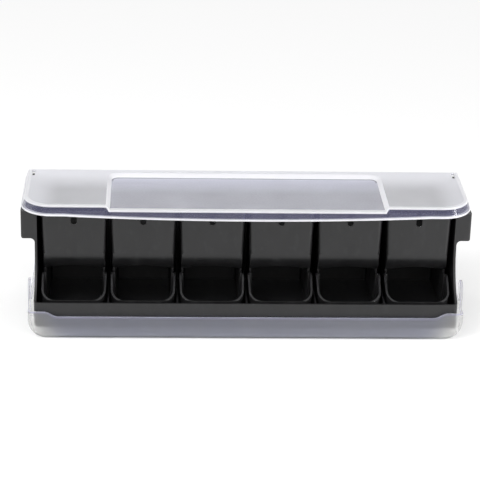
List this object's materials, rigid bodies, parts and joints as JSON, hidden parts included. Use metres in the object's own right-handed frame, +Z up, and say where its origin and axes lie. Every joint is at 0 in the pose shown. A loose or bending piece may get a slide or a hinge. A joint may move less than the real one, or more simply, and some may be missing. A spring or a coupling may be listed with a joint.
{
  "type": "bar condiment holder",
  "caption": "Counter-top garnish holder: removable gravity-fed bins with open scoops stand in a black housing under a hinged frosted lid, in a clear drip tray.",
  "frame": {"origin": "centre of the tray's underside, on the counter", "axes": "+X to the right along the row of bins, -Y towards the user, +Z up"},
  "size_m": [0.4962, 0.142, 0.145],
  "materials": {
    "housing_black": "satin moulded",
    "bin_black": "semi-gloss moulded",
    "frosted_lid": "frosted, polished edges",
    "clear_tray": "frosted clear"
  },
  "bodies": {
    "tray": {"base_tray": "clear_tray"},
    "housing": {"housing": "housing_black"},
    "lid": {"lid": "frosted_lid"},
    "bin_1": {"bin_1": "bin_black"},
    "bin_2": {"bin_2": "bin_black"},
    "bin_3": {"bin_3": "bin_black"},
    "bin_4": {"bin_4": "bin_black"},
    "bin_5": {"bin_5": "bin_black"},
    "bin_6": {"bin_6": "bin_black"}
  },
  "joints": [
    {"name": "housing_lift", "type": "slide", "parent": "tray", "child": "housing", "axis": [0, 0, 1], "range_m": [0, 0.07]},
    {"name": "lid_hinge", "type": "hinge", "parent": "housing", "child": "lid", "pos_m": [0, 0.0583, 0.1367], "axis": [-1, 0, 0], "range_deg": [0, 95]},
    {"name": "bin_1_lift", "type": "slide", "parent": "housing", "child": "bin_1", "axis": [0, 0, 1], "range_m": [0, 0.004]},
    {"name": "bin_2_lift", "type": "slide", "parent": "housing", "child": "bin_2", "axis": [0, 0, 1], "range_m": [0, 0.004]},
    {"name": "bin_3_lift", "type": "slide", "parent": "housing", "child": "bin_3", "axis": [0, 0, 1], "range_m": [0, 0.004]},
    {"name": "bin_4_lift", "type": "slide", "parent": "housing", "child": "bin_4", "axis": [0, 0, 1], "range_m": [0, 0.004]},
    {"name": "bin_5_lift", "type": "slide", "parent": "housing", "child": "bin_5", "axis": [0, 0, 1], "range_m": [0, 0.004]},
    {"name": "bin_6_lift", "type": "slide", "parent": "housing", "child": "bin_6", "axis": [0, 0, 1], "range_m": [0, 0.004]}
  ]
}
